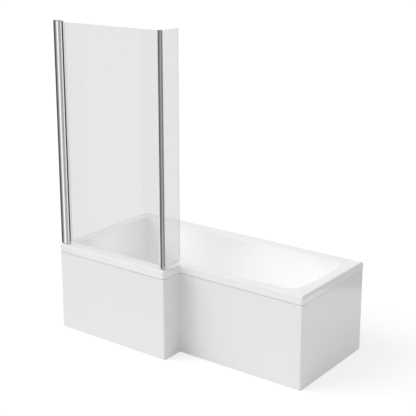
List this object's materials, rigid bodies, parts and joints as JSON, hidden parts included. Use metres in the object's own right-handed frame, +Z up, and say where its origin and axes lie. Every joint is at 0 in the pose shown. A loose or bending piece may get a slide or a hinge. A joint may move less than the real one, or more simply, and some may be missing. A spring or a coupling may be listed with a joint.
{
  "type": "l-shaped shower bath",
  "caption": "L-shaped acrylic shower bath on adjustable legs behind front and end panels, with a push waste and a hinged glass screen that has a short return at the step.",
  "frame": {"origin": "on the floor, under the middle of the bath's 1700 by 850 mm box", "axes": "+X along the bath from the showering end to the far end, +Y from the open front to the back wall, +Z up"},
  "size_m": [1.7, 0.85, 1.96],
  "materials": {
    "acrylic": "gloss",
    "panel": "gloss",
    "board": "chipboard",
    "batten": "planed softwood",
    "zinc_steel": "zinc plated",
    "stainless": "bright",
    "pad": "moulded",
    "chrome": "polished",
    "brass": "turned",
    "rubber": "soft",
    "profile": "bright anodised",
    "post": "bright anodised",
    "cap": "silver coated",
    "dark_cap": "moulded",
    "bush": "turned nylon",
    "glass": "clear toughened",
    "seal": "clear extrusion"
  },
  "bodies": {
    "bath": {"bath_shell": "acrylic", "front_panel": "panel", "end_panel": "panel", "base_board": "board", "rim_battens": "batten", "floor_battens": "batten", "leg_rail_left": "zinc_steel", "leg_rail_middle": "zinc_steel", "leg_rail_right": "zinc_steel", "rail_screws": "zinc_steel", "foot_studs": "zinc_steel", "lock_nuts": "zinc_steel", "wall_brackets": "zinc_steel", "adjuster_screws": "stainless", "pivot_pins": "stainless", "plug_spring": "stainless", "foot_pads": "pad", "waste_body": "chrome", "waste_spider": "chrome", "waste_nut": "brass", "plug_cage": "brass", "waste_washers": "rubber", "wall_profile": "profile", "adjuster_profile": "profile", "profile_top_cap": "cap", "profile_bottom_cap": "cap"},
    "screen": {"pivot_bushes": "bush", "pivot_profile": "profile", "front_glass": "glass", "hinge_seal": "seal", "corner_post": "post", "post_top_cap": "cap", "post_bottom_cap": "dark_cap", "post_seals": "seal", "return_glass": "glass", "front_sweep": "seal", "return_sweep": "seal"},
    "plug": {"plug_cap": "chrome", "plug_seal": "rubber"}
  },
  "joints": [
    {"name": "screen_hinge", "type": "hinge", "parent": "bath", "child": "screen", "pos_m": [-0.797, -0.391, 1.26], "axis": [0, 0, -1], "range_deg": [0, 90]},
    {"name": "plug_press", "type": "slide", "parent": "bath", "child": "plug", "axis": [0, 0, -1], "range_m": [0, 0.008], "stiffness_N_per_m": 400, "springref_m": -0.006, "deforming": ["plug_spring"]}
  ]
}
